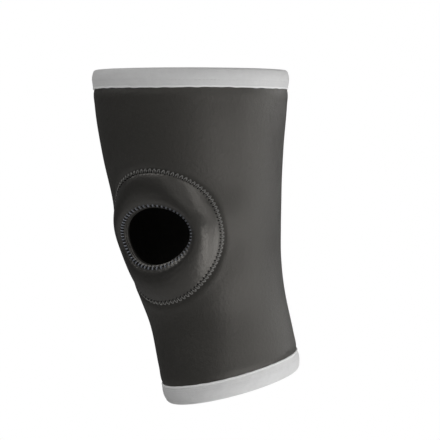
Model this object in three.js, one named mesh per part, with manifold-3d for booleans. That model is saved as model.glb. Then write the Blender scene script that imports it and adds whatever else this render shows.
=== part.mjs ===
// A knee sleeve with an open kneecap: a neoprene tube bound in grey tape at both hems, with a padded ring
// sewn round the kneecap opening. It has the form that it takes when it is worn on a slightly bent left knee.
// Millimetres. +Z runs up to the thigh end, -Y is the front and +X the outer side.
// The origin is on the tube's axis, in the section through the middle of the kneecap opening.
import * as THREE from "three";
import { mergeVertices } from "three/addons/utils/BufferGeometryUtils.js";
import Module from "manifold-3d";

const wasm = await Module();
wasm.setup();

// Lengths along the tube's axis, above and below the middle of the kneecap opening
const lengthAbove = 120.5;
const lengthBelow = 128.5;
const sleeveLength = lengthAbove + lengthBelow;

// Outside sizes of the tube where it is worn on the thigh, the knee and the calf
const thigh = { width: 152, depth: 152 };
const knee = { width: 128, depth: 124 };
const calf = { width: 103, depth: 114 };

// The bend of a slightly bent knee: back towards +Y and out towards +X, from a length above the opening's
// middle to a length below it
const flexAngle = THREE.MathUtils.degToRad(13);
const leanAngle = THREE.MathUtils.degToRad(7);
const bendAbove = 110.5;
const bendBelow = 68.5;

// Neoprene, and the tape that is folded over each hem and pinches it
const wall = 3;
const tapeThickness = 1.2;
const tapeSeamThickness = 0.8;
const tapeWidth = 15;
const hemPinch = 0.6;
const pinchRelease = 2;
const gap = 0.3;

// Kneecap opening, measured on the stretched cloth. Its middle lies aside of the front line.
const kneecapAside = -5.7;
const openingWidth = 66.3;
const openingHeight = 44.3;
const openingTilt = THREE.MathUtils.degToRad(9);

// Padded ring round the opening. Its middle lies nearer to the front line than the opening's.
const padAside = 2.7;
const padWidth = 114.8;
const padHeight = 102.8;
const padTilt = THREE.MathUtils.degToRad(32);
const padRise = 5.2;

// Fineness of the faceted surfaces
const facetsAround = 56;
const ringsAlong = 22;
const padFacets = 56;
const foldFacets = 5;
const girthSamples = 240;
const axisSamples = 200;

// Sections of the tube. at: -1 is the top hem, 0 the opening's middle and 1 the bottom hem. side: share of the
// width's half. front and back: shares of the depth's half. square: 2 is an ellipse, more flattens the front.
const sections = [
  { at: -1.0, of: thigh, side: 0.995, front: 1.03, back: 1.0, square: 2.0 },
  { at: -0.75, of: thigh, side: 0.987, front: 0.985, back: 0.975, square: 2.0 },
  { at: -0.48, of: thigh, side: 0.932, front: 0.9, back: 0.95, square: 2.0 },
  { at: -0.25, of: knee, side: 1.045, front: 0.94, back: 1.15, square: 2.15 },
  { at: -0.07, of: knee, side: 1.0, front: 0.91, back: 1.12, square: 2.3 },
  { at: 0.11, of: knee, side: 0.945, front: 0.87, back: 1.06, square: 2.2 },
  { at: 0.3, of: calf, side: 1.095, front: 0.94, back: 1.08, square: 2.3 },
  { at: 0.53, of: calf, side: 1.03, front: 0.93, back: 1.025, square: 2.1 },
  { at: 0.77, of: calf, side: 1.02, front: 1.035, back: 1.0, square: 2.0 },
  { at: 1.0, of: calf, side: 1.01, front: 1.1, back: 0.985, square: 2.0 },
];

// The padded ring's top. across: share of the ring's width, from the opening out. rise: share of padRise.
const padProfile = [
  { across: 0.0, rise: 0.24 },
  { across: 0.04, rise: 0.4 },
  { across: 0.12, rise: 0.68 },
  { across: 0.2, rise: 0.9 },
  { across: 0.3, rise: 1.0 },
  { across: 0.43, rise: 0.95 },
  { across: 0.56, rise: 0.82 },
  { across: 0.7, rise: 0.6 },
  { across: 0.85, rise: 0.34 },
  { across: 1.0, rise: 0.12 },
];
const padUndersideFacets = 4;

const finishes = {
  neoprene: new THREE.MeshStandardMaterial({ color: 0x3a3936, roughness: 0.85, metalness: 0 }),
  tape: new THREE.MeshStandardMaterial({ color: 0xb4b4b4, roughness: 0.9, metalness: 0 }),
  padCover: new THREE.MeshStandardMaterial({ color: 0x45443f, roughness: 0.6, metalness: 0 }),
};

// Half sizes in millimetres of each row of the section table, with its length along the axis from the top
const halfSizes = sections.map((row) => ({
  along: lengthAbove + row.at * (row.at < 0 ? lengthAbove : lengthBelow),
  side: (row.side * row.of.width) / 2,
  front: (row.front * row.of.depth) / 2,
  back: (row.back * row.of.depth) / 2,
  square: row.square,
}));

// Smooth value of one column of the section table at a length along the axis
function sectionValue(column, along) {
  const rows = halfSizes;
  const after = rows.findIndex((row) => row.along > along);
  const k = after < 0 ? rows.length - 2 : Math.max(after - 1, 0);
  const slope = (j) => {
    const before = rows[Math.max(j - 1, 0)];
    const next = rows[Math.min(j + 1, rows.length - 1)];
    return (next[column] - before[column]) / (next.along - before.along);
  };
  const span = rows[k + 1].along - rows[k].along;
  const u = (along - rows[k].along) / span;
  const u2 = u * u;
  const u3 = u2 * u;
  return (
    (2 * u3 - 3 * u2 + 1) * rows[k][column] +
    (u3 - 2 * u2 + u) * span * slope(k) +
    (3 * u2 - 2 * u3) * rows[k + 1][column] +
    (u3 - u2) * span * slope(k + 1)
  );
}

// The way down the tube at a length along its axis
function downTube(along) {
  const share = THREE.MathUtils.smoothstep(along, lengthAbove - bendAbove, lengthAbove + bendBelow);
  const flex = flexAngle * share;
  const lean = leanAngle * share;
  return new THREE.Vector3(
    Math.sin(lean),
    Math.sin(flex) * Math.cos(lean),
    -Math.cos(flex) * Math.cos(lean),
  ).normalize();
}

function between(points, place) {
  const i = THREE.MathUtils.clamp(Math.floor(place), 0, points.length - 2);
  return points[i].clone().lerp(points[i + 1], place - i);
}

// The axis, added up in short steps from the top hem and moved so that it passes through the origin
function traceAxis() {
  const step = sleeveLength / axisSamples;
  const points = [new THREE.Vector3()];
  for (let i = 0; i < axisSamples; i++) {
    points.push(points[i].clone().addScaledVector(downTube((i + 0.5) * step), step));
  }
  const origin = between(points, lengthAbove / step);
  return points.map((p) => p.sub(origin));
}

const axis = traceAxis();

// The axis point and the two directions across the tube at a length along the axis
function tubeFrame(along) {
  const down = downTube(along);
  const back = new THREE.Vector3(0, 1, 0).addScaledVector(down, -down.y).normalize();
  const side = new THREE.Vector3().crossVectors(down, back);
  return { centre: between(axis, (along / sleeveLength) * axisSamples), side, back };
}

// One section's outline from the front line round, with the length of cloth up to each point of it
function sectionOutline(along) {
  const half = {};
  for (const column of ["side", "front", "back", "square"]) half[column] = sectionValue(column, along);
  const points = [];
  for (let i = 0; i <= girthSamples; i++) {
    const angle = (i / girthSamples) * Math.PI;
    const atFront = angle < Math.PI / 2;
    const square = atFront ? half.square : 2;
    const depth = atFront ? half.front : half.back;
    const x = half.side * Math.abs(Math.sin(angle)) ** (2 / square);
    const y = -Math.sign(Math.cos(angle)) * depth * Math.abs(Math.cos(angle)) ** (2 / square);
    const nx = (x / half.side) ** (square - 1) / half.side;
    const ny = (Math.sign(y) * Math.abs(y / depth) ** (square - 1)) / depth;
    const before = points[i - 1];
    const cloth = before ? before.cloth + Math.hypot(x - before.x, y - before.y) : 0;
    const size = Math.hypot(nx, ny);
    points.push({ x, y, nx: nx / size, ny: ny / size, cloth });
  }
  return points;
}

const outlines = new Map();
function outlineAt(along) {
  if (!outlines.has(along)) outlines.set(along, sectionOutline(along));
  return outlines.get(along);
}

// Index and share of the step of a rising list in which a value falls
function locate(rising, value) {
  let low = 0;
  let high = rising.length - 1;
  while (high - low > 1) {
    const middle = (low + high) >> 1;
    if (rising[middle] <= value) low = middle;
    else high = middle;
  }
  return { i: low, share: (value - rising[low]) / (rising[high] - rising[low]) };
}

const halfGirth = (along) => outlineAt(along).at(-1).cloth;

// A point on the tube: millimetres of cloth round from the front line, length along the axis, and height
// above the tube's outside
function onTube(around, along, lift) {
  const outline = outlineAt(along);
  const found = locate(outline.map((p) => p.cloth), Math.abs(around));
  const a = outline[found.i];
  const b = outline[found.i + 1];
  const mix = (key) => THREE.MathUtils.lerp(a[key], b[key], found.share);
  const towards = around < 0 ? -1 : 1;
  const { centre, side, back } = tubeFrame(along);
  return centre
    .addScaledVector(side, towards * (mix("x") + lift * mix("nx")))
    .addScaledVector(back, mix("y") + lift * mix("ny"));
}

// Length of cloth down the front line, so that heights on the cloth can be turned into lengths on the axis
const frontLine = (() => {
  const cloth = [0];
  const step = sleeveLength / axisSamples;
  for (let i = 1; i <= axisSamples; i++) {
    const here = onTube(0, i * step, 0);
    cloth.push(cloth[i - 1] + here.distanceTo(onTube(0, (i - 1) * step, 0)));
  }
  return cloth;
})();
const middleOnFront = (() => {
  const place = (lengthAbove / sleeveLength) * axisSamples;
  const i = Math.floor(place);
  return THREE.MathUtils.lerp(frontLine[i], frontLine[i + 1], place - i);
})();
function alongAtHeight(height) {
  const found = locate(frontLine, middleOnFront - height);
  return ((found.i + found.share) / axisSamples) * sleeveLength;
}

// A point near the opening, by its place on the laid-out cloth from the opening's middle: x to the outer
// side, y up the tube
const onKnee = (x, y, lift) => onTube(x + kneecapAside, alongAtHeight(y), lift);

// Distance from the opening's middle, in one direction, to a tilted ellipse whose own middle lies aside of it
function reach(width, height, tilt, aside, direction) {
  const toX = Math.cos(direction - tilt) / (width / 2);
  const toY = Math.sin(direction - tilt) / (height / 2);
  const middleX = (aside * Math.cos(tilt)) / (width / 2);
  const middleY = (-aside * Math.sin(tilt)) / (height / 2);
  const squared = toX * toX + toY * toY;
  const shared = toX * middleX + toY * middleY;
  return (shared + Math.sqrt(shared * shared - squared * (middleX * middleX + middleY * middleY - 1))) / squared;
}
const openingReach = (d) => reach(openingWidth, openingHeight, openingTilt, 0, d);
const padReach = (d) => reach(padWidth, padHeight, padTilt, padAside, d);

// A closed band of faces: a closed profile carried once round, with its faces turned to point out
function closedSweep(turns, profileLength, pointAt) {
  const positions = [];
  for (let i = 0; i < turns; i++) {
    for (let j = 0; j < profileLength; j++) positions.push(...pointAt(i / turns, j).toArray());
  }
  const index = [];
  for (let i = 0; i < turns; i++) {
    for (let j = 0; j < profileLength; j++) {
      const a = i * profileLength + j;
      const b = i * profileLength + ((j + 1) % profileLength);
      const c = ((i + 1) % turns) * profileLength + j;
      const d = ((i + 1) % turns) * profileLength + ((j + 1) % profileLength);
      index.push(a, c, b, b, c, d);
    }
  }
  return facingOut(positions, index);
}

function facingOut(positions, index) {
  const [a, b, c] = [new THREE.Vector3(), new THREE.Vector3(), new THREE.Vector3()];
  let volume = 0;
  for (let i = 0; i < index.length; i += 3) {
    a.fromArray(positions, index[i] * 3);
    b.fromArray(positions, index[i + 1] * 3);
    c.fromArray(positions, index[i + 2] * 3);
    volume += a.dot(b.cross(c));
  }
  if (volume < 0) {
    for (let i = 0; i < index.length; i += 3) [index[i], index[i + 1]] = [index[i + 1], index[i]];
  }
  return new THREE.BufferGeometry()
    .setAttribute("position", new THREE.Float32BufferAttribute(positions, 3))
    .setIndex(index);
}

function toSolid(geometry) {
  const bare = new THREE.BufferGeometry()
    .setAttribute("position", geometry.getAttribute("position"))
    .setIndex(geometry.index);
  const merged = mergeVertices(bare);
  return new wasm.Manifold(
    new wasm.Mesh({
      numProp: 3,
      vertProperties: merged.getAttribute("position").array,
      triVerts: new Uint32Array(merged.index.array),
    }),
  );
}

function fromSolid(solid) {
  const mesh = solid.getMesh();
  return new THREE.BufferGeometry()
    .setAttribute("position", new THREE.BufferAttribute(mesh.vertProperties, 3))
    .setIndex(new THREE.BufferAttribute(mesh.triVerts, 1));
}

// A profile of { along, lift } points carried once round the tube
function roundTheTube(profile) {
  return closedSweep(facetsAround, profile.length, (turn, j) => {
    const { along, lift } = profile[j];
    const signedTurn = turn <= 0.5 ? turn : turn - 1;
    return onTube(signedTurn * 2 * halfGirth(along), along, lift);
  });
}

// A plug through the wall, from clear inside it to clear outside, with the opening's outline
function openingPlug() {
  const clear = wall + 5;
  const positions = [onKnee(0, 0, clear), onKnee(0, 0, -clear)].flatMap((p) => p.toArray());
  const index = [];
  for (let i = 0; i < padFacets; i++) {
    const direction = (i / padFacets) * 2 * Math.PI;
    const x = openingReach(direction) * Math.cos(direction);
    const y = openingReach(direction) * Math.sin(direction);
    positions.push(...onKnee(x, y, clear).toArray(), ...onKnee(x, y, -clear).toArray());
    const out = 2 + 2 * i;
    const nextOut = 2 + 2 * ((i + 1) % padFacets);
    index.push(0, out, nextOut, 1, nextOut + 1, out + 1);
    index.push(out, out + 1, nextOut, nextOut, out + 1, nextOut + 1);
  }
  return facingOut(positions, index);
}

// Neoprene tube, whose pinched edges lie inside the folds of the tapes
function sleeveBody() {
  const pinched = [tapeThickness + gap, tapeWidth];
  const profile = pinched.map((depth) => ({ along: depth, lift: -hemPinch }));
  const freeDepth = tapeWidth + pinchRelease;
  for (let i = 0; i <= ringsAlong; i++) {
    const along = THREE.MathUtils.lerp(freeDepth, sleeveLength - freeDepth, i / ringsAlong);
    profile.push({ along, lift: 0 });
  }
  profile.push(...pinched.reverse().map((depth) => ({ along: sleeveLength - depth, lift: -hemPinch })));
  const inside = [...profile].reverse().map(({ along, lift }) => ({ along, lift: -wall - lift }));
  const tube = toSolid(roundTheTube([...profile, ...inside]));
  return fromSolid(tube.subtract(toSolid(openingPlug())));
}

// Tape folded over a hem: two flaps that hold the wall between them, joined by a round fold at the hem.
// fromHem turns a depth below the hem into a length along the axis.
function hemTape(fromHem) {
  const near = gap - hemPinch;
  const foldRadius = wall / 2 + near + tapeThickness;
  const profile = [
    { depth: tapeWidth, lift: near + tapeSeamThickness },
    { depth: tapeWidth - tapeThickness, lift: near + tapeThickness },
  ];
  for (let i = 0; i <= foldFacets; i++) {
    const angle = (i / foldFacets) * Math.PI;
    profile.push({
      depth: foldRadius * (1 - Math.sin(angle)),
      lift: -wall / 2 + foldRadius * Math.cos(angle),
    });
  }
  profile.push(
    { depth: tapeWidth, lift: -wall - near - tapeThickness },
    { depth: tapeWidth, lift: -wall - near },
    { depth: tapeThickness, lift: -wall - near },
    { depth: tapeThickness, lift: near },
    { depth: tapeWidth, lift: near },
  );
  return roundTheTube(profile.map(({ depth, lift }) => ({ along: fromHem(depth), lift })));
}

// Foam ring in its cover, seated on the tube round the opening
function kneecapPad() {
  const top = padProfile.map(({ across, rise }) => ({ across, lift: gap + rise * padRise }));
  const underside = [];
  for (let i = padUndersideFacets; i >= 0; i--) {
    underside.push({ across: i / padUndersideFacets, lift: gap });
  }
  const profile = [...top, ...underside];
  return closedSweep(padFacets, profile.length, (turn, j) => {
    const direction = turn * 2 * Math.PI;
    const { across, lift } = profile[j];
    const distance = THREE.MathUtils.lerp(openingReach(direction), padReach(direction), across);
    return onKnee(distance * Math.cos(direction), distance * Math.sin(direction), lift);
  });
}

function piece(name, geometry, finish) {
  const mesh = new THREE.Mesh(geometry, finish);
  mesh.name = name;
  return mesh;
}

const kneeSleeve = new THREE.Group();
kneeSleeve.add(
  piece("sleeve_body", sleeveBody(), finishes.neoprene),
  piece("top_hem_tape", hemTape((depth) => depth), finishes.tape),
  piece("bottom_hem_tape", hemTape((depth) => sleeveLength - depth), finishes.tape),
  piece("kneecap_pad", kneecapPad(), finishes.padCover),
);

export default kneeSleeve;
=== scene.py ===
# %% [markdown]
# # A knee sleeve with an open kneecap
#
# The real sleeve is a sheet of neoprene with nylon knit on both faces. It is cut flat, a hole is cut for the
# kneecap, and the sheet is sewn into a tube. A foam ring in its own cover goes round the hole, and a folded
# grey tape binds each hem. It is shown stretched to the form that it has when it is worn. The lesson builds it
# in the same order: the form, the cut sheet wrapped on it, the tapes, the padded ring, and last the thread.

# %% Load the frame and keep its box
import math
import bpy
import numpy as np
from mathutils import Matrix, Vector
from mathutils.geometry import delaunay_2d_cdt


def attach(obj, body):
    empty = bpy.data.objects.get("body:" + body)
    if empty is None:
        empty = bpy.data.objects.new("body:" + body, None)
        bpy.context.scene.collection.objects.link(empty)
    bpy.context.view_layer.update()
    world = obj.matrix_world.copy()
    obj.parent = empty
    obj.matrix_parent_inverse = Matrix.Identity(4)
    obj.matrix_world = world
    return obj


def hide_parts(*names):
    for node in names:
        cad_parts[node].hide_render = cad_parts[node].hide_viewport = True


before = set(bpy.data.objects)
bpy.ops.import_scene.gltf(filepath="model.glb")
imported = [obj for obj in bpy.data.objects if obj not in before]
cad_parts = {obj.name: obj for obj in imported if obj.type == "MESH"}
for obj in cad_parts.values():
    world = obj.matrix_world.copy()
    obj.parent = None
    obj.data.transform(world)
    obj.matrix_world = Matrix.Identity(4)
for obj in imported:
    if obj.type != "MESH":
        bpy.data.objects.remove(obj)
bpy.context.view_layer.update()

# %% [markdown]
# ## The camera
#
# The view is a catalogue view: a long lens at knee height, 35 degrees round to the outer side. The sleeve could
# be turned instead and the camera left in front, but pieces share one frame with the solids, so the camera
# moves. A long lens far away keeps both hems almost straight, and a short one would bend them.

# %% Camera
CAMERA_AZIMUTH = math.radians(35)
CAMERA_DISTANCE = 2.5
CAMERA_RISE = 0.036
CAMERA_AIM = Vector((0.01496, 0.00638, 0.0035))
LENS, SENSOR_WIDTH = 262.2, 36  # millimetres
SEES_TO = 200  # metres, past the floor's edge
to_right = Vector((math.cos(CAMERA_AZIMUTH), math.sin(CAMERA_AZIMUTH), 0))
away = Vector((-math.sin(CAMERA_AZIMUTH), math.cos(CAMERA_AZIMUTH), 0))

camera = bpy.data.objects.new("camera", bpy.data.cameras.new("camera"))
bpy.context.scene.collection.objects.link(camera)
camera.location = CAMERA_AIM - away * CAMERA_DISTANCE + Vector((0, 0, CAMERA_RISE))
camera.rotation_euler = (CAMERA_AIM - camera.location).to_track_quat("-Z", "Y").to_euler()
camera.data.lens = LENS
camera.data.sensor_width = SENSOR_WIDTH
camera.data.clip_end = SEES_TO
bpy.context.scene.camera = camera
print("camera at", [round(x, 3) for x in camera.location])

# %% [markdown]
# ## The form that the cloth is stretched on
#
# A worn sleeve is a bent tube whose section changes from the round thigh to the flatter front of the knee and
# the slim calf. It could be sculpted, but then nothing could be cut or sewn to measure. So a short table gives
# a few sections as shares of named sizes, and a smooth curve runs through them. The tube's axis bends back and
# outwards between two heights.

# %% Sizes of the tube, in millimetres
LENGTH_ABOVE = 120.5
LENGTH_BELOW = 128.5
LENGTH = LENGTH_ABOVE + LENGTH_BELOW
WIDTH_DEPTH = {"thigh": (152, 152), "knee": (128, 124), "calf": (103, 114)}
FLEX = math.radians(13)
LEAN = math.radians(7)
BEND_ABOVE = 110.5
BEND_BELOW = 68.5

# at: -1 top hem, 0 middle of the opening, 1 bottom hem. side, front and back: shares of the half sizes.
# square: 2 is an ellipse, and more flattens the front.
SECTIONS = [
    # at, of, side, front, back, square
    (-1.0, "thigh", 0.995, 1.03, 1.0, 2.0),
    (-0.75, "thigh", 0.987, 0.985, 0.975, 2.0),
    (-0.48, "thigh", 0.932, 0.9, 0.95, 2.0),
    (-0.25, "knee", 1.045, 0.94, 1.15, 2.15),
    (-0.07, "knee", 1.0, 0.91, 1.12, 2.3),
    (0.11, "knee", 0.945, 0.87, 1.06, 2.2),
    (0.3, "calf", 1.095, 0.94, 1.08, 2.3),
    (0.53, "calf", 1.03, 0.93, 1.025, 2.1),
    (0.77, "calf", 1.02, 1.035, 1.0, 2.0),
    (1.0, "calf", 1.01, 1.1, 0.985, 2.0),
]


def section_columns():
    """Each column of the table in millimetres, with the rows' lengths along the axis from the top hem."""
    rows = {"along": [], "side": [], "front": [], "back": [], "square": []}
    for at, of, side, front, back, square in SECTIONS:
        width, depth = WIDTH_DEPTH[of]
        rows["along"].append(LENGTH_ABOVE + at * (LENGTH_ABOVE if at < 0 else LENGTH_BELOW))
        rows["side"].append(side * width / 2)
        rows["front"].append(front * depth / 2)
        rows["back"].append(back * depth / 2)
        rows["square"].append(square)
    return {name: np.array(values) for name, values in rows.items()}


columns = section_columns()
print("hem widths:", 2 * columns["side"][0], "and", 2 * columns["side"][-1], "mm")


# %% A smooth curve through the table, and the bent axis
AXIS_STEPS = 200
ROW_COUNT = 250


def curve_value(x, y, slope, at):
    """A smooth curve through points whose slopes are known."""
    k = np.clip(np.searchsorted(x, at, side="right") - 1, 0, len(x) - 2)
    span = x[k + 1] - x[k]
    u = (at - x[k]) / span
    value = (2 * u**3 - 3 * u**2 + 1) * y[k] + (u**3 - 2 * u**2 + u) * span * slope[k]
    return value + (3 * u**2 - 2 * u**3) * y[k + 1] + (u**3 - u**2) * span * slope[k + 1]


def table_value(name, along):
    """A column's value at a length along the axis."""
    x, y = columns["along"], columns[name]
    before = np.maximum(np.arange(len(x)) - 1, 0)
    after = np.minimum(np.arange(len(x)) + 1, len(x) - 1)
    return curve_value(x, y, (y[after] - y[before]) / (x[after] - x[before]), along)


def smoothstep(value, low, high):
    """From 0 at low to 1 at high, with a soft start and end."""
    u = np.clip((value - low) / (high - low), 0, 1)
    return u * u * (3 - 2 * u)


def down_the_tube(along):
    """The axis's direction: it bends back and outwards on its way down."""
    share = smoothstep(along, LENGTH_ABOVE - BEND_ABOVE, LENGTH_ABOVE + BEND_BELOW)
    flex, lean = FLEX * share, LEAN * share
    down = np.stack([np.sin(lean), np.sin(flex) * np.cos(lean), -np.cos(flex) * np.cos(lean)], -1)
    return down / np.linalg.norm(down, axis=-1, keepdims=True)


ROWS = np.linspace(0, LENGTH, ROW_COUNT)
steps = np.linspace(0, LENGTH, AXIS_STEPS + 1)
walk = down_the_tube((steps[1:] + steps[:-1]) / 2) * (LENGTH / AXIS_STEPS)
axis_points = np.vstack([np.zeros(3), np.cumsum(walk, axis=0)])
axis_points -= [np.interp(LENGTH_ABOVE, steps, axis_points[:, k]) for k in range(3)]
row_down = down_the_tube(ROWS)
row_centre = np.stack([np.interp(ROWS, steps, axis_points[:, k]) for k in range(3)], -1)
row_back = np.array([0, 1, 0]) - row_down * row_down[:, 1:2]
row_back /= np.linalg.norm(row_back, axis=1, keepdims=True)
row_side = np.cross(row_down, row_back)
print("the axis ends at", row_centre[-1].round(1), "mm")

# %% [markdown]
# ## A place on the cloth
#
# Everything that is sewn on is placed by tape measure: so far round from the front line, so far down, so far
# above the cloth. One function turns such a place into a point. Each section is walked once and its points are
# spaced evenly along the cloth, so later looks into the table are quick.

# %% Sections spaced by cloth length, and the function that places a point
ROUND_STEPS = 240
FINE_STEPS = 720


def section_points(along):
    """A half section from the front line to the back line, evenly spaced along the cloth."""
    side, front, back, square = (table_value(n, along) for n in ("side", "front", "back", "square"))
    angle = np.linspace(0, math.pi, FINE_STEPS + 1)
    at_front = angle < math.pi / 2
    power = np.where(at_front, square, 2.0)
    depth = np.where(at_front, front, back)
    x = side * np.abs(np.sin(angle)) ** (2 / power)
    y = -np.sign(np.cos(angle)) * depth * np.abs(np.cos(angle)) ** (2 / power)
    nx = (x / side) ** (power - 1) / side
    ny = np.sign(y) * np.abs(y / depth) ** (power - 1) / depth
    cloth = np.append(0, np.cumsum(np.hypot(np.diff(x), np.diff(y))))
    size = np.hypot(nx, ny)
    even = np.linspace(0, cloth[-1], ROUND_STEPS + 1)
    table = [np.interp(even, cloth, v) for v in (x, y, nx / size, ny / size)]
    return cloth[-1], np.stack(table, -1)


made = [section_points(along) for along in ROWS]
half_girths = np.array([girth for girth, _ in made])
form = np.stack([table for _, table in made])


def half_girth(along):
    """Cloth length from the front line to the back line."""
    return np.interp(along, ROWS, half_girths)


def on_tube(around, along, lift=0.0):
    """Points in millimetres, from the cloth length round from the front line, the length along the axis and
    the height above the tube's outside."""
    around, along, lift = np.broadcast_arrays(np.asarray(around, float), along, lift)
    row = np.clip(along / LENGTH, 0, 1) * (len(ROWS) - 1)
    i = np.minimum(row.astype(int), len(ROWS) - 2)
    step = np.clip(np.abs(around) / half_girth(along), 0, 1) * ROUND_STEPS
    j = np.minimum(step.astype(int), ROUND_STEPS - 1)
    f, g = (row - i)[..., None], (step - j)[..., None]
    found = (1 - f) * ((1 - g) * form[i, j] + g * form[i, j + 1])
    found = found + f * ((1 - g) * form[i + 1, j] + g * form[i + 1, j + 1])
    across = np.where(around < 0, -1, 1) * (found[..., 0] + lift * found[..., 2])
    behind = found[..., 1] + lift * found[..., 3]
    centre, side, back = ((1 - f) * a[i] + f * a[i + 1] for a in (row_centre, row_side, row_back))
    return centre + side * across[..., None] + back * behind[..., None]


print("girths, mm: top", round(2 * half_girths[0]), "knee", round(2 * half_girth(LENGTH_ABOVE)),
      "bottom", round(2 * half_girths[-1]))

# %% [markdown]
# ## The opening and the ring round it
#
# The opening and the ring are marked on the cloth before it is cut, as on the real cutting table. Both are
# tilted ellipses whose middles lie a little aside of the front line, and of each other, so the ring is narrower
# on one side. A direction and a distance from the opening's middle reach any point between the two outlines.

# %% Outlines of the opening and the pad, on the cloth
ASIDE = -5.7
OPENING = {"width": 66.3, "height": 44.3, "tilt": math.radians(9), "aside": 0}
PAD = {"width": 114.8, "height": 102.8, "tilt": math.radians(32), "aside": 2.7}

front_line = on_tube(np.zeros(len(ROWS)), ROWS)
front_cloth = np.append(0, np.cumsum(np.linalg.norm(np.diff(front_line, axis=0), axis=1)))
middle_on_front = np.interp(LENGTH_ABOVE, ROWS, front_cloth)


def along_at(height):
    """Length along the axis at a cloth height above the opening's middle."""
    return np.interp(middle_on_front - height, front_cloth, ROWS)


def height_at(along):
    """Cloth height above the opening's middle at a length along the axis."""
    return middle_on_front - np.interp(along, ROWS, front_cloth)


def on_knee(x, y, lift=0.0):
    """A point by its place on the cloth from the opening's middle: x to the outer side, y up the tube."""
    return on_tube(np.asarray(x) + ASIDE, along_at(np.asarray(y)), lift)


def reach(outline, direction):
    """Distance from the opening's middle, in one direction, to a tilted ellipse."""
    wide, high, tilt = outline["width"] / 2, outline["height"] / 2, outline["tilt"]
    to_x, to_y = np.cos(direction - tilt) / wide, np.sin(direction - tilt) / high
    middle_x = outline["aside"] * math.cos(tilt) / wide
    middle_y = -outline["aside"] * math.sin(tilt) / high
    squared, shared = to_x**2 + to_y**2, to_x * middle_x + to_y * middle_y
    return (shared + np.sqrt(shared**2 - squared * (middle_x**2 + middle_y**2 - 1))) / squared


def ring_line(outline, offset, count):
    """Cloth places of a line that runs round an outline at an offset from it."""
    direction = np.arange(count) / count * 2 * math.pi
    distance = reach(outline, direction) + offset
    return distance * np.cos(direction), distance * np.sin(direction)


def length_of(points):
    """Length of a closed line."""
    return np.linalg.norm(np.roll(points, -1, axis=0) - points, axis=1).sum()


print("opening edge", round(length_of(on_knee(*ring_line(OPENING, 0, 400)))), "mm round, pad edge",
      round(length_of(on_knee(*ring_line(PAD, 0, 400)))), "mm round")


# %% Meshes from points in millimetres
def new_piece(name, points, faces, uv=None, finish=None):
    """An object at the origin from points in millimetres, with an optional map of millimetres per corner."""
    mesh = bpy.data.meshes.new(name)
    mesh.from_pydata((np.asarray(points) / 1000).tolist(), [], [list(f) for f in faces])
    if uv is not None:
        layer = mesh.uv_layers.new(name="cloth")
        layer.data.foreach_set("uv", (np.asarray(uv, float).reshape(-1, 2) / 1000).ravel())
    mesh.polygons.foreach_set("use_smooth", [True] * len(mesh.polygons))
    mesh.validate()
    piece = bpy.data.objects.new(name, mesh)
    bpy.context.scene.collection.objects.link(piece)
    if finish:
        mesh.materials.append(finish)
    print(name, len(mesh.polygons), "faces")
    return piece


def closed_sweep(name, grid, flat, finish=None):
    """A closed band from a grid of points, turns by profile, with the flat place of each grid point."""
    turns, size = grid.shape[:2]
    i, j = np.meshgrid(np.arange(turns), np.arange(size), indexing="ij")
    i2, j2 = (i + 1) % turns, (j + 1) % size
    corners = [(i, j), (i2, j), (i2, j2), (i, j2)]
    faces = np.stack([a * size + b for a, b in corners], -1).reshape(-1, 4)
    uv = flat(np.stack([i, i + 1, i + 1, i], -1), np.stack([j, j, j + 1, j + 1], -1))
    points = grid.reshape(-1, 3)
    a, b, c, d = (points[faces[:, k]] for k in range(4))
    volume = (np.einsum("ij,ij->i", a, np.cross(b, c)) + np.einsum("ij,ij->i", a, np.cross(c, d))).sum()
    if volume < 0:
        faces, uv = faces[:, ::-1], uv.reshape(-1, 4, 2)[:, ::-1]
    return new_piece(name, points, faces, uv, finish)


# %% [markdown]
# ## Finishes
#
# Every fabric here is a nylon knit. A knit could be a picture, but a picture repeats and blurs, so its loops
# are drawn by a short formula on the flat cut's millimetres: columns of small V shapes. Black nylon is very
# dark, and what the eye sees is mostly the soft gloss of its fibres, so each finish starts from its gloss. A slow
# mottle breaks the gloss up a little, as uneven stretch does on real cloth.


# %% Helpers for colours and nodes
def linear(colour):
    """An sRGB hex colour as linear values, with alpha 1."""
    values = [int(colour[k:k + 2], 16) / 255 for k in (1, 3, 5)]
    return [v / 12.92 if v <= 0.04045 else ((v + 0.055) / 1.055) ** 2.4 for v in values] + [1]


def add(tree, kind, settings=None, **inputs):
    """Adds a node. Settings are its properties, and inputs are values or sockets to link, by name; a name
    like input_1 is a socket's number."""
    node = tree.nodes.new(kind)
    for name, value in (settings or {}).items():
        setattr(node, name, value)
    for name, value in inputs.items():
        key = int(name[6:]) if name.startswith("input_") else name.replace("_", " ")
        if isinstance(value, bpy.types.NodeSocket):
            tree.links.new(value, node.inputs[key])
        else:
            node.inputs[key].default_value = value
    return node


# %% The loops of a jersey knit
# Real loops are about 0.4 mm wide, too fine to show at this size, so they are drawn twice as coarse.
WALE = 0.0008
COURSE = 0.8 * WALE
SLANT_SHARE = 0.3


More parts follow.
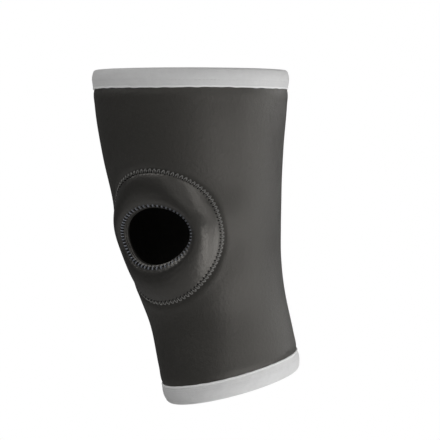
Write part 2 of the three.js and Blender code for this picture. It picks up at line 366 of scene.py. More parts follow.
def knit_height(tree):
    """Height of a jersey knit: V shaped loops in columns a wale wide and rows a course high."""
    place = add(tree, "ShaderNodeUVMap", {"uv_map": "cloth"}).outputs[0]
    split = add(tree, "ShaderNodeSeparateXYZ", input_0=place)
    across = add(tree, "ShaderNodeMath", {"operation": "MULTIPLY"}, input_0=split.outputs[0], input_1=1 / WALE)
    down = add(tree, "ShaderNodeMath", {"operation": "MULTIPLY"}, input_0=split.outputs[1], input_1=1 / COURSE)
    fold = add(tree, "ShaderNodeMath", {"operation": "PINGPONG"}, input_0=across.outputs[0], input_1=0.5)
    slant = add(tree, "ShaderNodeMath", {"operation": "ADD"}, input_0=down.outputs[0], input_1=fold.outputs[0])
    turn = add(tree, "ShaderNodeMath", {"operation": "MULTIPLY"}, input_0=slant.outputs[0], input_1=2 * math.pi)
    loop = add(tree, "ShaderNodeMath", {"operation": "SINE"}, input_0=turn.outputs[0])
    groove = add(tree, "ShaderNodeMath", {"operation": "MULTIPLY"}, input_0=fold.outputs[0], input_1=2.0)
    return add(tree, "ShaderNodeMath", {"operation": "MULTIPLY_ADD"},
               input_0=loop.outputs[0], input_1=SLANT_SHARE, input_2=groove.outputs[0]).outputs[0]


# %% A knit's and a thread's finish
LOOP_DEPTH = 0.0002
MOTTLE_DEPTH = 0.0006
# the painted highlight along a selvedge fades out over this width
PAINTED_HIGHLIGHT_FADE = 0.0006
# The gloss of the knits is very slightly warm.
GLOSS_TINT = "#fffaf3"
SHEEN_TINT = "#b9b6b0"
# Threads are spun from fibres far below a tenth of a millimetre, drawn coarser so that they roughen the gloss.
FIBRE = 0.0004


def knit_finish(name, dark, light, mottle, relief, roughness, specular, sheen=0.0, selvedge=None):
    """A nylon knit: mottled colour, loops in relief, and the soft gloss of its fibres. A selvedge is the colour of a
    painted highlight and the width that it takes along the piece's first edge."""
    finish = bpy.data.materials.new(name)
    finish.use_nodes = True
    tree = finish.node_tree
    tree.nodes.clear()
    place = add(tree, "ShaderNodeTexCoord").outputs["Object"]
    cloudy = add(tree, "ShaderNodeTexNoise", Vector=place, Scale=1 / mottle, Detail=3.0, Roughness=0.6)
    tint = add(tree, "ShaderNodeMix", {"data_type": "RGBA"}, input_0=cloudy.outputs["Fac"],
               input_6=linear(dark), input_7=linear(light))
    colour = tint.outputs[2]
    # Painted highlight: a lighter colour mixed in along the selvedge, where a thick edge would catch the light.
    if selvedge:
        painted_highlight_colour, painted_highlight_width = selvedge
        map_place = add(tree, "ShaderNodeUVMap", {"uv_map": "cloth"}).outputs[0]
        from_edge = add(tree, "ShaderNodeSeparateXYZ", input_0=map_place).outputs[1]
        in_painted_highlight = add(tree, "ShaderNodeMapRange", {"interpolation_type": "SMOOTHSTEP"}, Value=from_edge,
                      From_Min=painted_highlight_width, From_Max=painted_highlight_width + PAINTED_HIGHLIGHT_FADE, To_Min=1.0, To_Max=0.0)
        colour = add(tree, "ShaderNodeMix", {"data_type": "RGBA"}, input_0=in_painted_highlight.outputs[0], input_6=colour,
                     input_7=linear(painted_highlight_colour)).outputs[2]
    bump = add(tree, "ShaderNodeBump", Height=knit_height(tree), Strength=relief, Distance=LOOP_DEPTH)
    uneven = add(tree, "ShaderNodeBump", Height=cloudy.outputs["Fac"], Normal=bump.outputs[0],
                 Strength=0.5, Distance=MOTTLE_DEPTH)
    shader = add(tree, "ShaderNodeBsdfPrincipled", Base_Color=colour, Normal=uneven.outputs[0],
                 Roughness=roughness, IOR=1.5, Specular_IOR_Level=specular, Specular_Tint=linear(GLOSS_TINT),
                 Sheen_Weight=sheen, Sheen_Roughness=0.5, Sheen_Tint=linear(SHEEN_TINT))
    add(tree, "ShaderNodeOutputMaterial", Surface=shader.outputs[0])
    return finish


def thread_finish(name, colour, roughness=0.5, specular=0.5):
    """Sewing thread: polyester, spun and twisted, so its surface is finely uneven."""
    finish = bpy.data.materials.new(name)
    finish.use_nodes = True
    tree = finish.node_tree
    tree.nodes.clear()
    place = add(tree, "ShaderNodeTexCoord").outputs["Object"]
    fibres = add(tree, "ShaderNodeTexNoise", Vector=place, Scale=1 / FIBRE, Detail=2.0)
    bump = add(tree, "ShaderNodeBump", Height=fibres.outputs["Fac"], Strength=0.4, Distance=0.0001)
    shader = add(tree, "ShaderNodeBsdfPrincipled", Base_Color=linear(colour), Normal=bump.outputs[0],
                 Roughness=roughness, IOR=1.5, Specular_IOR_Level=specular)
    add(tree, "ShaderNodeOutputMaterial", Surface=shader.outputs[0])
    return finish


# %% The four knits
# Jersey bonded to neoprene: nearly black where it faces nothing, and a soft warm grey where it faces a lamp.
BLACK_KNIT = knit_finish("nylon jersey on neoprene", "#121210", "#171714", mottle=0.003, relief=0.3,
                         roughness=0.5, specular=0.9)
# The same jersey inside, where it is duller, so the hollow looks deep.
LINING_KNIT = knit_finish("nylon jersey lining", "#141412", "#191816", mottle=0.003, relief=0.3,
                          roughness=0.6, specular=0.4)
# Jersey pulled tight over foam: its loops are flatter and its gloss is closer, so the crown stands out.
PAD_KNIT = knit_finish("smooth nylon jersey over foam", "#121211", "#161614", mottle=0.004, relief=0.15,
                       roughness=0.4, specular=1.0)
# Knitted binding: pale and matt with a short nap, and a painted highlight along its edge: a lighter colour where the
# thick selvedge would catch the light.
TAPE_KNIT = knit_finish("grey knitted binding tape", "#d0d0d0", "#dadada", mottle=0.004, relief=0.5,
                        roughness=0.8, specular=0.2, sheen=0.1, selvedge=("#ebebeb", 0.0016))
print("knits:", [m.name for m in bpy.data.materials])

# %% The four threads
# Grey thread on the pad's edge: silky, so each stitch glints where the seam turns to the light.
DARK_THREAD = thread_finish("grey polyester thread", "#686764", roughness=0.4, specular=1.0)
# Looper thread, partly painted shade: dull and darker than the knit, so it reads as the shaded gaps between the grey
# stitches and darkens the opening's lip.
SHADE_LOOPER_THREAD = thread_finish("black looper thread for painted shade", "#0b0b0b", roughness=0.8, specular=0.2)
# Thread round the opening: as silky, with a blue cast beside the warm black knit.
COOL_THREAD = thread_finish("cool grey polyester thread", "#6e727c", roughness=0.4, specular=1.0)
# Thread matched to the tapes: it shows only by the line that it presses in.
PALE_THREAD = thread_finish("pale grey polyester thread", "#cecece")
print("threads:", [m.name for m in bpy.data.materials if "thread" in m.name])

# %% [markdown]
# ## The neoprene sheet
#
# The sheet is triangulated flat, with the opening cut out, and then wrapped on the form: the same order as at
# the cutting table. A tube with a hole knocked through it by a boolean would leave ragged faces at the hole,
# just where stitches draw attention. Extra rings of points run round the opening and the pad's seam, where
# the thread pulls a groove into the cloth.

# %% How thread and tape shape the sheet
WALL = 3.0
TAPE_WIDTH = 15.0
HEM_STITCH_PITCH = 3.0
HEM_CURL = {"top": 0.9, "bottom": 1.7}
# heights and depths, in millimetres
HEM_PINCH = 0.6
HEM_BULGE = 0.25
PAD_GROOVE = 0.55
PAD_PILLOW = 0.35
BACK_GROOVE = 0.35
UNEVENNESS = 0.22


def ridge(at, middle, width):
    """A smooth bump of height 1 about a middle."""
    return np.exp(-(((at - middle) / width) ** 2))


def hem_curl(along):
    """How far the hems turn in, because the binding is tighter than the sheet."""
    top = HEM_CURL["top"] * (1 - smoothstep(along, -2, 8))
    return top + HEM_CURL["bottom"] * (1 - smoothstep(LENGTH - along, -2, 11))


def hem_pinch(to_hem):
    """How far the binding squeezes each face of the neoprene."""
    return HEM_PINCH * (1 - smoothstep(to_hem, TAPE_WIDTH - 1, TAPE_WIDTH + 3.5))


def pad_place(around, along):
    """Direction and distance from the opening's middle, on the cloth."""
    x, y = around - ASIDE, height_at(along)
    return np.arctan2(y, x), np.hypot(x, y)


def waves(around, along):
    """Slow, slight unevenness of stretched cloth, from -1 to 1."""
    a, b = around / 17, along / 23
    return (np.sin(a + 1.3 * b + 0.7) + np.sin(0.6 * a - 1.9 * b + 2.1) + np.sin(1.7 * a + 0.5 * b + 4.0)) / 3


def sheet_lift(around, along):
    """Height of the stretched sheet above the form: a groove and a pillow at the pad's seam, a pinch and a bulge
    at the bindings, a groove where the sheet's edges meet at the back, and slight waves between them."""
    direction, distance = pad_place(around, along)
    from_pad = distance - reach(PAD, direction)
    near_front = np.abs(around) < 100
    at_pad = (PAD_PILLOW * ridge(from_pad, 5.0, 2.8) - PAD_GROOVE * ridge(from_pad, 0.6, 1.5)) * near_front
    to_hem = np.minimum(along, LENGTH - along)
    at_hem = HEM_BULGE * ridge(to_hem, TAPE_WIDTH + 6, 3.5) - hem_pinch(to_hem)
    to_back = half_girth(along) - np.abs(around)
    at_back = -BACK_GROOVE * ridge(to_back, 0, 1.1) * smoothstep(to_hem, TAPE_WIDTH, TAPE_WIDTH + 3)
    free = smoothstep(to_hem, TAPE_WIDTH, TAPE_WIDTH + 12)
    return at_pad + at_hem + at_back + UNEVENNESS * waves(around, along) * free


# %% Points of the flat sheet
SHEET_STEP = 2.0
SHEET_COLUMNS = 110
SHEET_INSET = 1.6  # the cut edges stop short of the hems, inside the tapes' folds
OPENING_RINGS, OPENING_POINTS = (0, 0.8, 2.0), 150
PAD_RINGS, PAD_POINTS = (-2.6, -1.4, -0.4, 0.4, 1.2, 2.0, 3.0, 4.2, 5.6, 7.0), 260


def sheet_points():
    """Points of the sheet's outline in order, and staggered rows of points inside it."""
    top, bottom = SHEET_INSET, LENGTH - SHEET_INSET
    rows = np.linspace(top, bottom, int((bottom - top) / SHEET_STEP) + 1)
    share = np.linspace(-1, 1, 2 * SHEET_COLUMNS + 1)
    ends, inner = [], []
    for n, along in enumerate(rows):
        at_end = n in (0, len(rows) - 1)
        inside = share[1:-1] + (0.5 / SHEET_COLUMNS if n % 2 and not at_end else 0)
        line = np.stack([inside * half_girth(along), np.full(len(inside), along)], -1)
        if at_end:
            ends.append(line if n == 0 else line[::-1])
        else:
            inner.append(line[np.abs(inside) < 1 - 0.4 / SHEET_COLUMNS])
    right = np.stack([half_girth(rows), rows], -1)
    left = np.stack([-half_girth(rows), rows], -1)[::-1]
    return np.concatenate([ends[0], right, ends[1], left]), np.concatenate(inner)


def seam_rings():
    """Rings of points round the opening and the pad's seam, the opening's edge first."""
    rings = []
    for outline, offsets, count in ((OPENING, OPENING_RINGS, OPENING_POINTS), (PAD, PAD_RINGS, PAD_POINTS)):
        for offset in offsets:
            x, y = ring_line(outline, offset, count)
            rings.append(np.stack([x + ASIDE, along_at(y)], -1))
    return rings


# %% Cut the sheet flat
def cut_sheet():
    """Points and triangles of the flat sheet: millimetres round and along, with the opening cut out."""
    outline, inner = sheet_points()
    rings = seam_rings()
    # the rows make room for the rings of points
    direction, distance = pad_place(inner[:, 0], inner[:, 1])
    near = np.abs(inner[:, 0]) < 110
    from_opening = distance - reach(OPENING, direction)
    from_pad = distance - reach(PAD, direction)
    keep = ~near | ((from_opening > 3.2) & ((from_pad < -3.6) | (from_pad > 8.0)))
    points = np.concatenate([outline, *rings, inner[keep]])
    n, m = len(outline), OPENING_POINTS
    loops = [(k, (k + 1) % n) for k in range(n)] + [(n + k, n + (k + 1) % m) for k in range(m)]
    made = delaunay_2d_cdt([Vector(p) for p in points], loops, [], 1, 1e-5)
    flat = np.array([tuple(v) for v in made[0]])
    faces = np.array([f for f in made[2] if len(f) == 3])
    middle = flat[faces].mean(axis=1)
    direction, distance = pad_place(middle[:, 0], middle[:, 1])
    in_hole = (np.abs(middle[:, 0]) < 60) & (distance < reach(OPENING, direction) - 0.02)
    return flat, faces[~in_hole]


flat_sheet, sheet_faces = cut_sheet()
print("flat sheet:", len(flat_sheet), "points,", len(sheet_faces), "triangles")


# %% Wrap it on the form
def wrap_sheet():
    """The sheet's outer and inner points on the form, and its triangles turned outwards."""
    around, along = flat_sheet[:, 0], flat_sheet[:, 1]
    curl = hem_curl(along)
    outer = on_tube(around, along, sheet_lift(around, along) - curl)
    squeeze = hem_pinch(np.minimum(along, LENGTH - along))
    inner = on_tube(around, along, -WALL + squeeze - curl + 0.15 * waves(around + 40, along))
    first, second, third = (outer[sheet_faces[:, k]] for k in range(3))
    normal = np.cross(second - first, third - first)
    centre = np.stack([np.interp(along, ROWS, row_centre[:, k]) for k in range(3)], -1)
    inwards = np.einsum("ij,ij->i", normal, first - centre[sheet_faces[:, 0]]) < 0
    return outer, inner, np.where(inwards[:, None], sheet_faces[:, ::-1], sheet_faces)


def join_back():
    """For each point of the sheet its own number, and for the right back edge those of the left one: the two
    edges are one line on the tube."""
    around, along = flat_sheet.T
    left = np.nonzero(around < -half_girth(along) + 1e-3)[0]
    same = np.arange(len(flat_sheet))
    for right in np.nonzero(around > half_girth(along) - 1e-3)[0]:
        same[right] = left[np.argmin(np.abs(along[left] - along[right]))]
    return same


outer_points, inner_points, wrapped_faces = wrap_sheet()
print("wrapped sheet, mm:", np.ptp(outer_points, axis=0).round(1))


# %% Give the sheet its thickness and close it at the back
def sides(faces):
    """The three sides of each triangle."""
    return np.concatenate([faces[:, [0, 1]], faces[:, [1, 2]], faces[:, [2, 0]]])


def sew_tube():
    """Both faces of the sheet, and a wall between them where the sheet ends."""
    same, count = join_back(), len(flat_sheet)
    faces = same[wrapped_faces]
    edges = sides(faces)
    known = {tuple(e) for e in edges.tolist()}
    rim = np.array([(b, a) not in known for a, b in edges.tolist()])
    a, b = edges[rim].T
    walls = np.stack([b, a, a + count, b + count], -1)
    flat_a, flat_b = sides(wrapped_faces)[rim].T
    uv = [flat_sheet[wrapped_faces].reshape(-1, 2), flat_sheet[wrapped_faces[:, ::-1]].reshape(-1, 2),
          flat_sheet[np.stack([flat_b, flat_a, flat_a, flat_b], -1)].reshape(-1, 2)]
    every = faces.tolist() + (faces[:, ::-1] + count).tolist() + walls.tolist()
    piece = new_piece("neoprene_tube", np.concatenate([outer_points, inner_points]), every, np.concatenate(uv))
    piece.data.materials.append(BLACK_KNIT)
    piece.data.materials.append(LINING_KNIT)
    lining = np.zeros(len(piece.data.polygons), int)
    lining[len(faces):2 * len(faces)] = 1
    piece.data.polygons.foreach_set("material_index", lining.tolist())
    return piece


tube = sew_tube()

# %% [markdown]
# ## The hem tapes
#
# Each hem is bound: a knitted tape is folded over the edge and sewn through all layers. A tape could be a
# plain band on the outside, but the rounded fold at the hem is what tells a binding from a stripe. So its whole
# section is swept round, with the outer flap, the fold and the inner flap, and it waves slightly, as soft tape
# does.

# %% Section of a folded tape
TAPE_THICKNESS = 1.2
SEAM_THINNER = 0.3  # how much the flaps are pressed flat by their seam
GAP = 0.05
OUTSIDE = GAP - HEM_PINCH  # height of the tape's underside on the pinched neoprene
STITCH_FROM_EDGE = 5.6


def tape_section():
    """Depth below the hem and height above the form, from the thick outer selvedge over the fold to the inner
    one and back along the neoprene."""
    radius = WALL / 2 + OUTSIDE + TAPE_THICKNESS
    selvedge = [(0, 0.2), (0.02, 0.55), (0.2, 0.85), (0.5, 1.0), (0.85, 1.02), (1.2, 0.95)]
    outer = [(TAPE_WIDTH - inset, OUTSIDE + height) for inset, height in selvedge]
    for depth in np.linspace(TAPE_WIDTH - 1.7, radius + 1.5, 22):
        outer.append((depth, OUTSIDE + TAPE_THICKNESS - SEAM_THINNER * smoothstep(depth, 6, TAPE_WIDTH - 2)))
    fold = []
    for angle in np.linspace(0, math.pi, 13):
        fold.append(((radius + 1.0) * (1 - math.sin(angle)), -WALL / 2 + radius * math.cos(angle)))
    inner = [(depth, -WALL - height) for depth, height in outer[::-1]]
    back = [(depth, -WALL - OUTSIDE) for depth in np.linspace(TAPE_WIDTH - 0.6, TAPE_THICKNESS, 6)]
    back += [(depth, OUTSIDE) for depth in np.linspace(TAPE_THICKNESS, TAPE_WIDTH - 0.6, 6)]
    return np.array(outer + fold + inner + back), len(outer)


section, outer_count = tape_section()
print("tape section:", len(section), "points,", round(float(np.ptp(section[:, 1])), 2), "mm through the fold")


# %% Places and stitches on a hem
def from_top(depth):
    """Length along the axis at a depth below the thigh hem."""
    return depth


def from_bottom(depth):
    """Length along the axis at a depth above the calf hem."""
    return LENGTH - depth


def hem_line(from_hem, depth, lift, count):
    """Points round the tube beside a hem."""
    along = from_hem(np.full(count, depth))
    turn = np.arange(count) / count
    turn = np.where(turn <= 0.5, turn, turn - 1)
    return on_tube(turn * 2 * half_girth(along), along, lift - hem_curl(along))


def hem_stitches(from_hem):
    """How many stitches go round a hem."""
    line = hem_line(from_hem, TAPE_WIDTH - STITCH_FROM_EDGE, 0, 400)
    return int(round(length_of(line) / HEM_STITCH_PITCH))


# %% Sweep a tape round each hem
TAPE_TURNS = 480
BELLY = 0.28
RIB_HEIGHT, RIB_PITCH = 0.05, 1.9
SOFTNESS = 0.06


def make_tape(name, from_hem, phase, edge_waves):
    """A folded tape whose outer flap is soft: it bellies out, its seam presses a line in, fine ribs run along its
    edge and the edge waves a little."""
    depth, lift = (section[:, k][None, :] * np.ones((TAPE_TURNS, 1)) for k in (0, 1))
    turn = (np.arange(TAPE_TURNS) / TAPE_TURNS)[:, None]
    swing = 2 * math.pi * turn
    flap = np.zeros_like(depth)
    flap[:, :outer_count] = 1
    sway = np.sin(swing * 5 + phase) + 0.7 * np.sin(swing * 29 + phase) + 0.5 * np.sin(swing * 47 + 2 * phase)
    depth = depth + edge_waves * sway * smoothstep(depth, 5, TAPE_WIDTH) * flap
    stitches = hem_stitches(from_hem)
    pull = (0.12 + 0.04 * np.cos(swing * stitches)) * ridge(depth, TAPE_WIDTH - STITCH_FROM_EDGE, 0.7)
    belly = BELLY * np.sin(math.pi * np.clip(depth / TAPE_WIDTH, 0, 1)) ** 1.5
    near_edge = smoothstep(depth, TAPE_WIDTH - 5.5, TAPE_WIDTH - 4.5)
    ribs = RIB_HEIGHT * np.sin(2 * math.pi * depth / RIB_PITCH) * near_edge
    soft = np.sin(swing * 17 + depth / 3 + phase) + np.sin(swing * 31 - depth / 2.3 + 1.7 * phase)
    lift = lift + flap * (belly - pull + ribs + SOFTNESS * soft * smoothstep(depth, 2, 6))
    lift = lift - hem_curl(from_hem(depth))
    along = from_hem(np.clip(depth, 0, None))
    signed = np.where(turn <= 0.5, turn, turn - 1)
    grid = on_tube(signed * 2 * half_girth(along), along, lift)
    travelled = np.append(0, np.cumsum(np.hypot(*np.diff(np.vstack([section, section[:1]]), axis=0).T)))
    girth = 2 * half_girth(from_hem(np.array([TAPE_WIDTH / 2])))[0]
    flat = lambda i, j: np.stack([i / TAPE_TURNS * girth, travelled[j]], -1)
    return closed_sweep(name, grid, flat, TAPE_KNIT)


top_tape = make_tape("thigh_hem_binding", from_top, 0.4, 0.16)
bottom_tape = make_tape("calf_hem_binding", from_bottom, 2.0, 0.07)

# %% [markdown]
# ## The padded ring
#
# A foam ring lies under a knit cover that is sewn down along both edges. It steers the kneecap, so it is
# highest near the opening and slopes to a thin flange at the outer seam. It could be a torus, but the real one
# is a low, lopsided crown that follows the bent cloth. A table gives the crown, and each stitch draws a small
# dimple into the cover.

# %% Crown of the ring
PAD_RISE = 6.4
PAD_TURNS = 690
# Directions are seen from outside, from the outer side round over the top.
FULLEST, FULLER = 0.2, 0.25
THINNEST, THINNER, THIN_SPREAD = -1.8, 0.4, 4
# across: share of the ring's width from the opening out. outer and inner: share of PAD_RISE on the knee's
# outer side, where the ridge lies close to the opening and a long slope runs down to the seam, and on its inner
# side, where it is rounder.
PAD_CROWN = np.array([
    # across, outer, inner
    (0.0, 0.08, 0.06), (0.012, 0.17, 0.14), (0.04, 0.32, 0.22), (0.08, 0.52, 0.3), (0.13, 0.76, 0.4),
    (0.19, 0.94, 0.53), (0.25, 1.0, 0.645), (0.32, 1.0, 0.725), (0.4, 0.96, 0.755), (0.48, 0.885, 0.74),
    (0.56, 0.785, 0.7), (0.65, 0.645, 0.62), (0.75, 0.465, 0.5), (0.84, 0.285, 0.34), (0.9, 0.15, 0.2),
    (0.92, 0.11, 0.13), (0.95, 0.08, 0.09), (0.985, 0.05, 0.06), (1.0, 0.02, 0.02),
])


def crown(across, direction):
    """Share of PAD_RISE at a place. The foam is fullest on the outer side and thinner below."""
    at, outer, inner = PAD_CROWN.T
    on_outer = curve_value(at, outer, np.gradient(outer, at), across)
    on_inner = curve_value(at, inner, np.gradient(inner, at), across)
    share = (1 - np.cos(direction)) / 2
    below = np.exp(THIN_SPREAD * (np.cos(direction - THINNEST) - 1))
    fullness = FULLER * np.clip(np.cos(direction - FULLEST), 0, 1)
    return (1 + fullness - THINNER * below) * ((1 - share) * on_outer + share * on_inner)


# %% Where the needle goes in, round the ring
TURN = np.linspace(0, 2 * math.pi, FINE_STEPS + 1)
# offset: of the seam's middle from its outline. The cloth is stretched more round the tube than along it, so
# the spacing is pitch plus spread above and below the opening, and pitch less spread at its sides.
PAD_SEAM = {"outline": PAD, "offset": -0.8, "pitch": 3.4, "spread": 0.5}
OPENING_SEAM = {"outline": OPENING, "offset": 2.2, "pitch": 3.5, "spread": 0.9}


def count_stitches(seam):
    """Stitches sewn from direction 0 to each direction of TURN."""
    x, y = ring_line(seam["outline"], seam["offset"], FINE_STEPS)
    line = on_knee(x, y)
    step = np.linalg.norm(np.roll(line, -1, axis=0) - line, axis=1)
    sewn = np.append(0, np.cumsum(step / (seam["pitch"] - seam["spread"] * np.cos(2 * TURN[:-1]))))
    return sewn * round(sewn[-1]) / sewn[-1]


for seam in (PAD_SEAM, OPENING_SEAM):
    seam["sewn"] = count_stitches(seam)


def sewn_at(seam, direction):
    """Stitches sewn up to a direction."""
    return np.interp(np.mod(direction, 2 * math.pi), TURN, seam["sewn"])


def needle_directions(seam, per_stitch=1, shift=0.0):
    """Directions of the needle holes, or of so many points per stitch, moved on by a share of a stitch."""
    count = per_stitch * round(seam["sewn"][-1])
    return np.interp(np.arange(count) / per_stitch + shift, seam["sewn"], TURN)


print("stitches: pad edge", round(PAD_SEAM["sewn"][-1]), "and opening", round(OPENING_SEAM["sewn"][-1]))


# %% Height of the ring's cover
def cover_lift(direction, distance):
    """Height of the cover above the neoprene: the crown, with the dips that the two seams pull into it."""
    inner, outer = reach(OPENING, direction), reach(PAD, direction)
    across = np.clip((distance - inner) / (outer - inner), 0, 1)
    pad_stitch = np.cos(2 * math.pi * sewn_at(PAD_SEAM, direction))
    lock_stitch = np.cos(2 * math.pi * sewn_at(OPENING_SEAM, direction))
    outer_dip = ridge(distance, outer - 2.3, 0.7) * (0.2 + 0.2 * pad_stitch)
    inner_dip = ridge(distance, inner + 3.4, 1.0) * (0.18 + 0.12 * lock_stitch)
    return np.maximum(GAP + PAD_RISE * crown(across, direction) - outer_dip - inner_dip, GAP + 0.01)


# %% [markdown]
# ## Swelling between the stitches
#
# Foam pushes the cover out, and the seams hold it down. The small pillows that this leaves between stitches
# could be drawn with waves, but a cloth simulation finds them by itself: the cover is held at its edges and at
# every needle hole, a light pressure blows it up, and each point may move only a fraction of a millimetre. It
# runs on a coarse copy, twenty times enlarged, because the solver is made for clothes, not for millimetres.

# %% The coarse cover
SIM_TURNS = 3 * round(PAD_SEAM["sewn"][-1])
SIM_ACROSS = np.concatenate([np.linspace(0, 0.15, 5), np.linspace(0.19, 0.82, 17), np.linspace(0.85, 1.0, 5)])
SIM_SCALE = 0.02
SIM_FRAMES = 20
OPENING_HOLES, PAD_HOLES = 0.15, 0.91  # places of the needle holes, as shares of the ring's width
MOST_SWELLING = 0.55


def ring_place(direction, across):
    """Distance from the opening's middle, and the place on the cloth, at a share of the ring's width."""
    inner = reach(OPENING, direction)
    distance = inner + across * (reach(PAD, direction) - inner)
    return distance, distance * np.cos(direction), distance * np.sin(direction)


def cover_mesh(start, outward):
    """The coarse cover, enlarged for the solver, with its faces turned outwards."""
    turns, width = start.shape[:2]
    i, j = np.meshgrid(np.arange(turns), np.arange(width - 1), indexing="ij")
    row, next_row = i * width + j, (i + 1) % turns * width + j
    faces = np.stack([row, next_row, next_row + 1, row + 1], -1).reshape(-1, 4)
    corner = start.reshape(-1, 3)[faces]
    normal = np.cross(corner[:, 1] - corner[:, 0], corner[:, 2] - corner[:, 0])
    if np.einsum("ij,ij->", normal, outward.reshape(-1, 3)[faces[:, 0]]) < 0:
        faces = faces[:, ::-1]
    mesh = bpy.data.meshes.new("cover_under_pressure")
    mesh.from_pydata((start.reshape(-1, 3) * SIM_SCALE).tolist(), [], faces.tolist())
    return mesh


def sewn_points(turns, width):
    """Numbers of the points that thread holds: both edges and every needle hole."""
    index = np.arange(turns * width).reshape(turns, width)
    locks = np.round(3 * sewn_at(PAD_SEAM, needle_directions(OPENING_SEAM))).astype(int) % turns
    sewn = [index[:, 0], index[:, -1], index[locks, np.abs(SIM_ACROSS - OPENING_HOLES).argmin()],
            index[::3, np.abs(SIM_ACROSS - PAD_HOLES).argmin()]]
    return np.unique(np.concatenate(sewn)).tolist()


# %% Simulate it
def add_cloth(cover):
    """Thin knit under a light pressure, held where it is sewn, with gravity off."""
    cloth = cover.modifiers.new("cloth", "CLOTH")
    setting = cloth.settings
    setting.vertex_group_mass = "sewn"
    setting.quality = 6
    setting.mass = 0.3
    setting.tension_stiffness = setting.compression_stiffness = 12
    setting.bending_stiffness = 0.3
    setting.use_pressure = True
    setting.uniform_pressure_force = 4
    setting.effector_weights.gravity = 0
    cloth.collision_settings.use_collision = False


def swell_cover():
    """How far the cover swells, in millimetres, for each simulated turn and place across the ring."""
    direction = needle_directions(PAD_SEAM, 3)[:, None]
    distance, x, y = ring_place(direction, SIM_ACROSS[None, :])
    lift = cover_lift(direction, distance)
    start = on_knee(x, y, lift)
    outward = on_knee(x, y, lift + 1) - start
    mesh = cover_mesh(start, outward)
    cover = bpy.data.objects.new("cover_under_pressure", mesh)
    bpy.context.scene.collection.objects.link(cover)
    cover.vertex_groups.new(name="sewn").add(sewn_points(*lift.shape), 1.0, "REPLACE")
    add_cloth(cover)
    scene = bpy.context.scene
    for frame_number in range(1, SIM_FRAMES + 1):
        scene.frame_set(frame_number)
    ready = cover.evaluated_get(bpy.context.evaluated_depsgraph_get()).data
    moved = np.empty(len(ready.vertices) * 3)
    ready.vertices.foreach_get("co", moved)
    swelling = np.einsum("ijk,ijk->ij", moved.reshape(start.shape) / SIM_SCALE - start, outward)
    bpy.data.objects.remove(cover)
    bpy.data.meshes.remove(mesh)
    scene.frame_set(1)
    print("cover swelled by", swelling.min().round(2), "to", swelling.max().round(2), "mm before the cap")
    return np.clip(swelling, 0, MOST_SWELLING)


swelling = swell_cover()


# %% Make the ring at full fineness
def swelling_at(direction, across):
    """The simulated swelling, read between its points."""
    turn = 3 * sewn_at(PAD_SEAM, direction)
    i = np.floor(turn).astype(int)
    f = turn - i
    here, there = swelling[i % SIM_TURNS], swelling[(i + 1) % SIM_TURNS]
    column = np.interp(across, SIM_ACROSS, np.arange(len(SIM_ACROSS)))
    j = np.minimum(column.astype(int), len(SIM_ACROSS) - 2)
    g = column - j
    rows = np.arange(len(here))[:, None]
    near = (1 - f)[:, None] * here[rows, j] + f[:, None] * there[rows, j]
    far = (1 - f)[:, None] * here[rows, j + 1] + f[:, None] * there[rows, j + 1]
    return (1 - g) * near + g * far


def make_ring():
    """The cover's top at full fineness, closed by a plain underside just above the neoprene."""
    direction = (np.arange(PAD_TURNS) / PAD_TURNS * 2 * math.pi)[:, None]
    across = np.concatenate([[0, 0.006, 0.012, 0.025], np.linspace(0.04, 0.96, 52), [0.975, 0.99, 1.0]])[None, :]
    distance, x, y = ring_place(direction, across)
    lift = cover_lift(direction, distance) + swelling_at(direction[:, 0], np.repeat(across, PAD_TURNS, axis=0))
    _, under_x, under_y = ring_place(direction, np.linspace(1, 0, 12)[None, :])
    grid = np.concatenate([on_knee(x, y, lift), on_knee(under_x, under_y, GAP - 0.02)], axis=1)
    flat_x, flat_y = np.concatenate([x, under_x], axis=1), np.concatenate([y, under_y], axis=1)
    width = flat_x.shape[1]
    flat = lambda i, j: np.stack([flat_x[i % PAD_TURNS, j % width], flat_y[i % PAD_TURNS, j % width]], -1)
    return closed_sweep("kneecap_ring", grid, flat, PAD_KNIT)


pad = make_ring()

# %% [markdown]
# ## Thread
#
# There are hundreds of stitches, all alike, so one small tree of geometry nodes makes them: at each needle place
# it sets one short arched thread and turns it square to the cloth. Modelling them one by one would take hours,
# and a texture would look flat where the light comes from the side. Each needle place carries two directions:
# out of the cloth, and along the thread.

# %% One stitch, and how it is turned
SIDES_OF_THREAD = STEPS_OF_STITCH = 6
SEED = 7


def thread_arch(tree, given):
    """An arch of thread whose ends dive into the cloth."""
    half = add(tree, "ShaderNodeMath", {"operation": "MULTIPLY"}, input_0=given["Stitch length"], input_1=0.5)
    back = add(tree, "ShaderNodeMath", {"operation": "MULTIPLY"}, input_0=given["Stitch length"], input_1=-0.5)
    sunk = add(tree, "ShaderNodeMath", {"operation": "MULTIPLY"}, input_0=given["Thread radius"], input_1=-1.2)
    high = add(tree, "ShaderNodeMath", {"operation": "MULTIPLY"}, input_0=given["Arch"], input_1=2.0)
    start = add(tree, "ShaderNodeCombineXYZ", X=back.outputs[0], Z=sunk.outputs[0])
    crest = add(tree, "ShaderNodeCombineXYZ", Z=high.outputs[0])
    end = add(tree, "ShaderNodeCombineXYZ", X=half.outputs[0], Z=sunk.outputs[0])
    arch = add(tree, "GeometryNodeCurveQuadraticBezier", Resolution=STEPS_OF_STITCH, Start=start.outputs[0],
               Middle=crest.outputs[0], End=end.outputs[0])
    ring = add(tree, "GeometryNodeCurvePrimitiveCircle", {"mode": "RADIUS"}, Resolution=SIDES_OF_THREAD,
               Radius=given["Thread radius"])
    stitch = add(tree, "GeometryNodeCurveToMesh", Curve=arch.outputs[0], Profile_Curve=ring.outputs[0],
                 Fill_Caps=True)
    return stitch.outputs[0]


